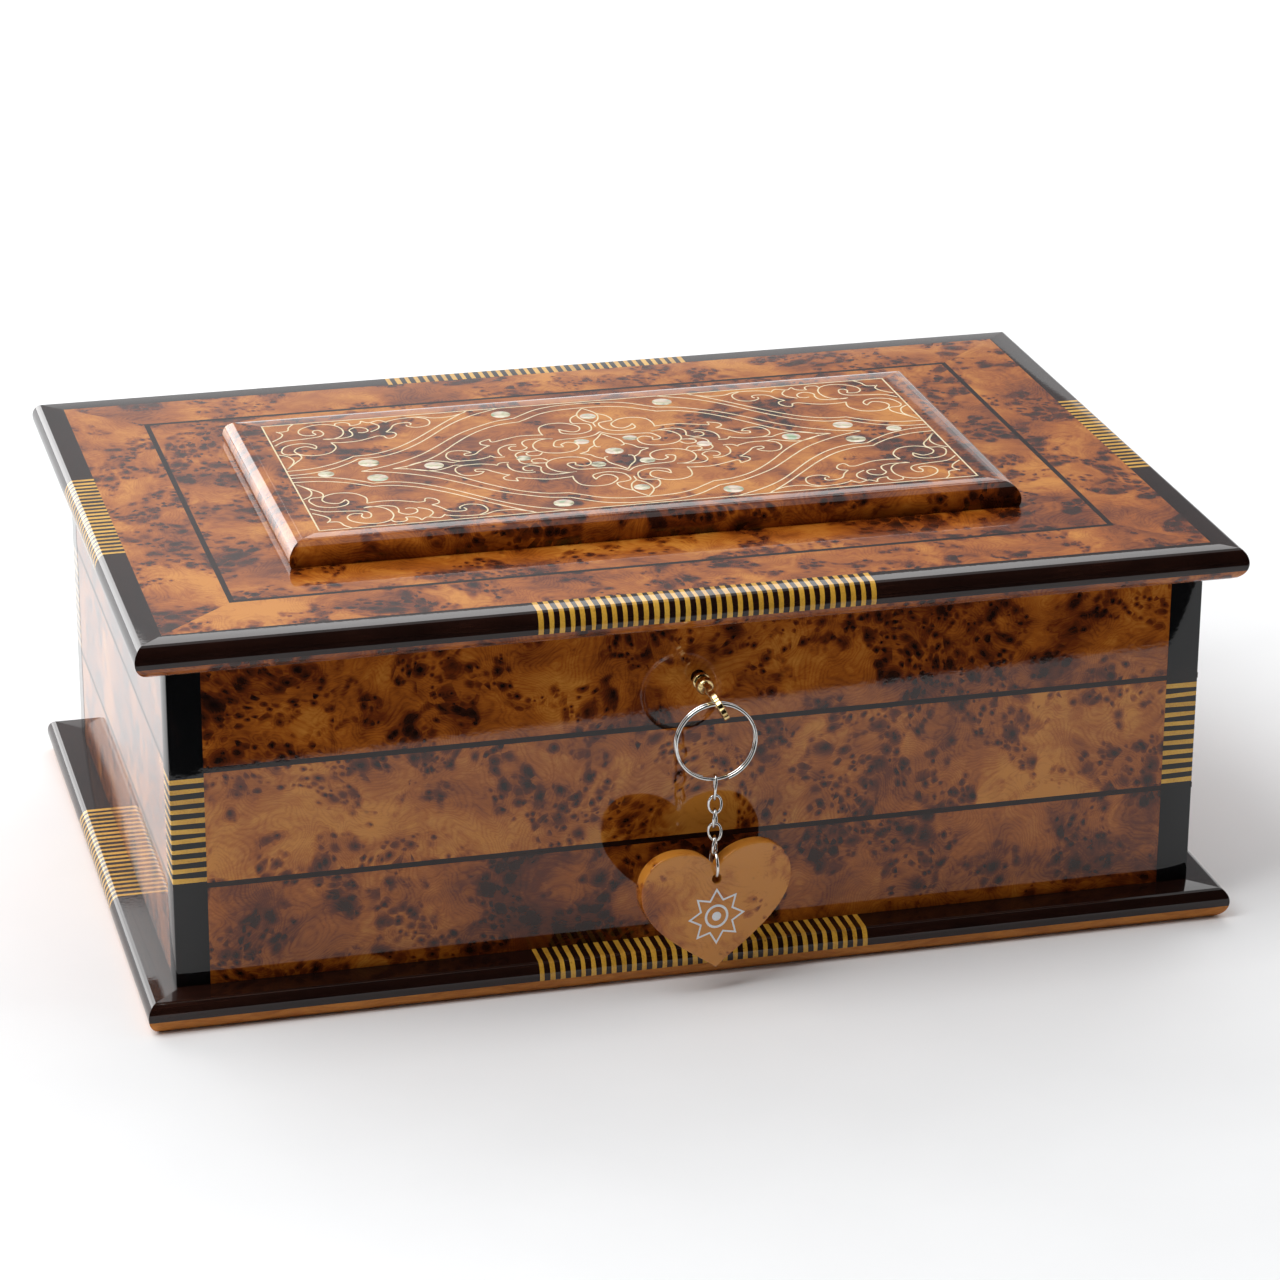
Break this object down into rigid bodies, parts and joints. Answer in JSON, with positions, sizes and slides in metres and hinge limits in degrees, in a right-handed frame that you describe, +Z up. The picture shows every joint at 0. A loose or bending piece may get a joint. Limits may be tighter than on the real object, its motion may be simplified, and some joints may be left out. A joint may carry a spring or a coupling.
{
  "type": "inlaid wooden box",
  "caption": "Rectangular hinged box with burl veneer, striped black edging, a raised lid panel with wire and pearl inlay, a lock, and a key carrying a ring, a chain and a heart fob.",
  "frame": {"origin": "middle of the box's footprint, on the plinth's underside", "axes": "+X along the front, to the right as seen from the front; -Y towards the front; +Z up"},
  "size_m": [0.3, 0.216, 0.1153],
  "materials": {
    "burl_veneer": "thuya burl veneer under a thick high-gloss lacquer",
    "panel_burl": "lighter burl, high gloss",
    "fob_burl": "burl, high gloss, with a silver print",
    "marquetry": "burl sheet with pale wire and mother-of-pearl discs, high gloss",
    "ebonised_wood": "black-dyed wood, high gloss",
    "striped_inlay": "yellow and black strips laid side by side, high gloss",
    "plain_wood": "plain close-grained wood, satin",
    "core_wood": "plain walnut-brown wood, satin",
    "brass": "polished",
    "nickel": "bright nickel plate"
  },
  "bodies": {
    "case": {"corner_post_back_left": "ebonised_wood", "corner_post_back_right": "ebonised_wood", "corner_post_front_left": "ebonised_wood", "corner_post_front_right": "ebonised_wood", "floor_board": "core_wood", "hinge_leaf_body_left": "brass", "hinge_leaf_body_right": "brass", "hinge_pin_left": "brass", "hinge_pin_right": "brass", "lock_case": "brass", "plinth_board": "plain_wood", "plinth_edging_back": "ebonised_wood", "plinth_edging_front": "ebonised_wood", "plinth_edging_left": "ebonised_wood", "plinth_edging_right": "ebonised_wood", "plinth_stripes_back": "striped_inlay", "plinth_stripes_front": "striped_inlay", "plinth_stripes_left": "striped_inlay", "plinth_stripes_right": "striped_inlay", "post_stripes_back_left": "striped_inlay", "post_stripes_back_right": "striped_inlay", "post_stripes_front_left": "striped_inlay", "post_stripes_front_right": "striped_inlay", "string_lower": "ebonised_wood", "string_upper": "ebonised_wood", "veneer_back": "burl_veneer", "veneer_front": "burl_veneer", "veneer_left": "burl_veneer", "veneer_right": "burl_veneer", "wall_back": "core_wood", "wall_front": "core_wood", "wall_left": "core_wood", "wall_right": "core_wood"},
    "lid": {"hinge_leaf_lid_left": "brass", "hinge_leaf_lid_right": "brass", "lid_board": "burl_veneer", "lid_border_veneer": "burl_veneer", "lid_edging_back": "ebonised_wood", "lid_edging_front": "ebonised_wood", "lid_edging_left": "ebonised_wood", "lid_edging_right": "ebonised_wood", "lid_field_veneer": "burl_veneer", "lid_string": "ebonised_wood", "lid_stripes_back": "striped_inlay", "lid_stripes_front": "striped_inlay", "lid_stripes_left": "striped_inlay", "lid_stripes_right": "striped_inlay", "marquetry_sheet": "marquetry", "raised_panel": "panel_burl", "strike_plate": "brass"},
    "key": {"key": "brass"},
    "bolt": {"lock_bolt": "brass"},
    "ring": {"split_ring": "nickel"},
    "link_1": {"chain_link_1": "nickel"},
    "link_2": {"chain_link_2": "nickel"},
    "link_3": {"chain_link_3": "nickel"},
    "link_4": {"chain_link_4": "nickel"},
    "link_5": {"chain_link_5": "nickel"},
    "end_ring": {"fob_ring": "nickel"},
    "fob": {"heart_fob": "fob_burl"}
  },
  "joints": [
    {"name": "lid_hinge", "type": "hinge", "parent": "case", "child": "lid", "pos_m": [0, 0.0922, 0.0994], "axis": [-1, 0, 0], "range_deg": [0, 110]},
    {"name": "key_turn", "type": "hinge", "parent": "case", "child": "key", "pos_m": [0, -0.09, 0.0826], "axis": [0, 1, 0], "range_deg": [0, 65]},
    {"name": "bolt_slide", "type": "slide", "parent": "case", "child": "bolt", "axis": [-1, 0, 0], "range_m": [0, 0.005]},
    {"name": "ring_hang", "type": "hinge", "parent": "key", "child": "ring", "pos_m": [0, -0.1075, 0.0826], "axis": [0, 1, 0], "range_deg": [-65, 0]},
    {"name": "link_1_swing", "type": "hinge", "parent": "ring", "child": "link_1", "pos_m": [0, -0.1075, 0.0607], "axis": [1, 0, 0], "range_deg": [-40, 0.8]},
    {"name": "link_2_swing", "type": "hinge", "parent": "link_1", "child": "link_2", "pos_m": [0, -0.1075, 0.0559], "axis": [0, 1, 0], "range_deg": [-25, 25]},
    {"name": "link_3_swing", "type": "hinge", "parent": "link_2", "child": "link_3", "pos_m": [0, -0.1075, 0.0511], "axis": [1, 0, 0], "range_deg": [-30, 0.8]},
    {"name": "link_4_swing", "type": "hinge", "parent": "link_3", "child": "link_4", "pos_m": [0, -0.1075, 0.048], "axis": [0, 1, 0], "range_deg": [-25, 25]},
    {"name": "link_5_swing", "type": "hinge", "parent": "link_4", "child": "link_5", "pos_m": [0, -0.1075, 0.0432], "axis": [1, 0, 0], "range_deg": [-30, 0.8]},
    {"name": "end_ring_swing", "type": "hinge", "parent": "link_5", "child": "end_ring", "pos_m": [0, -0.1075, 0.04015], "axis": [0, 1, 0], "range_deg": [-20, 20]},
    {"name": "fob_swing", "type": "hinge", "parent": "end_ring", "child": "fob", "pos_m": [0, -0.1075, 0.03655], "axis": [1, 0, 0], "range_deg": [-25, 1]}
  ],
  "couplings": [
    {"joint": "key_turn", "follows": "bolt_slide", "rad_per_m": 226},
    {"joint": "ring_hang", "follows": "bolt_slide", "rad_per_m": -226}
  ]
}
